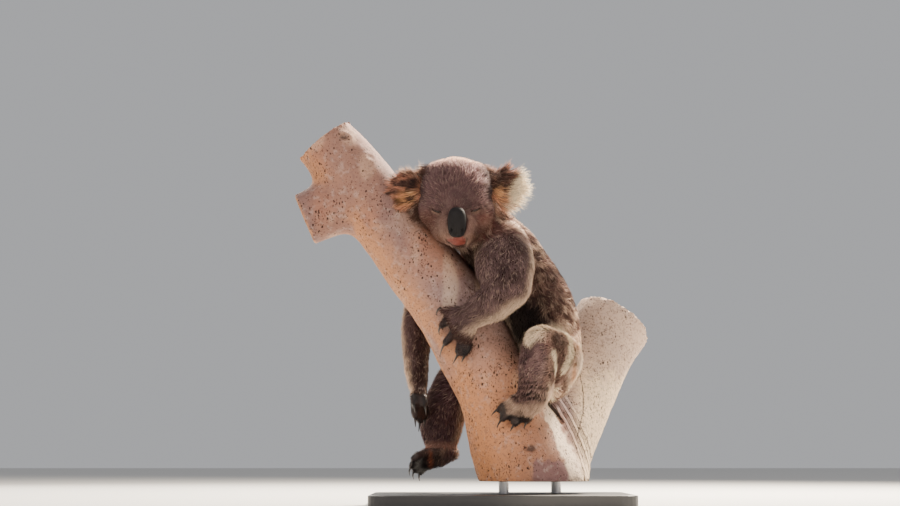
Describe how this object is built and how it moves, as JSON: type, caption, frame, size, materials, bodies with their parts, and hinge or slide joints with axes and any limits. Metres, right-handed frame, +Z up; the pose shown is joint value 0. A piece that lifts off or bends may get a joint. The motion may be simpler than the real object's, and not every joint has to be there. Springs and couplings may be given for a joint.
{
  "type": "koala on a gum limb",
  "caption": "Life-size museum-style koala asleep hugging a forked gum limb, head resting on the bark, limbs dangling, on a plain stand",
  "frame": {"origin": "middle of the underside of the stand's base", "axes": "+Z up; the animal's left side and its face look along -Y, its head end lies towards -X and its rump towards +X"},
  "size_m": [0.6581, 0.4801, 0.6901],
  "materials": {
    "fur": "dense woolly grey-brown coat with pale tips",
    "ear_fur": "long silky ear tufts, tan inside and cream at the rim",
    "paw": "bare dark granular skin under short fur",
    "nose": "smooth dark leathery skin with a soft sheen",
    "eye": "moist dark brown",
    "claw": "dark polished horn",
    "bark": "smooth pale gum bark with dark specks",
    "base": "satin black paint",
    "rod": "brushed"
  },
  "bodies": {
    "root": {"head": "fur", "neck": "fur", "trunk": "fur", "upper_arm_left": "fur", "forearm_left": "fur", "thigh_left": "fur", "shin_left": "fur", "upper_arm_right": "fur", "forearm_right": "fur", "thigh_right": "fur", "shin_right": "fur", "hand_left": "paw", "foot_left": "paw", "hand_right": "paw", "foot_right": "paw", "ear_left": "ear_fur", "ear_right": "ear_fur", "nose": "nose", "eye_left": "eye", "eye_right": "eye", "claw_hand_left_thumb_1": "claw", "claw_hand_left_thumb_2": "claw", "claw_hand_left_finger_1": "claw", "claw_hand_left_finger_2": "claw", "claw_hand_left_finger_3": "claw", "claw_foot_left_toe_1": "claw", "claw_foot_left_toe_2": "claw", "claw_foot_left_toe_3": "claw", "claw_foot_left_toe_4": "claw", "claw_hand_right_thumb_1": "claw", "claw_hand_right_thumb_2": "claw", "claw_hand_right_finger_1": "claw", "claw_hand_right_finger_2": "claw", "claw_hand_right_finger_3": "claw", "claw_foot_right_toe_1": "claw", "claw_foot_right_toe_2": "claw", "claw_foot_right_toe_3": "claw", "claw_foot_right_toe_4": "claw", "perch": "bark", "stand_base": "base", "stand_rod_left": "rod", "stand_rod_right": "rod"}
  },
  "joints": []
}
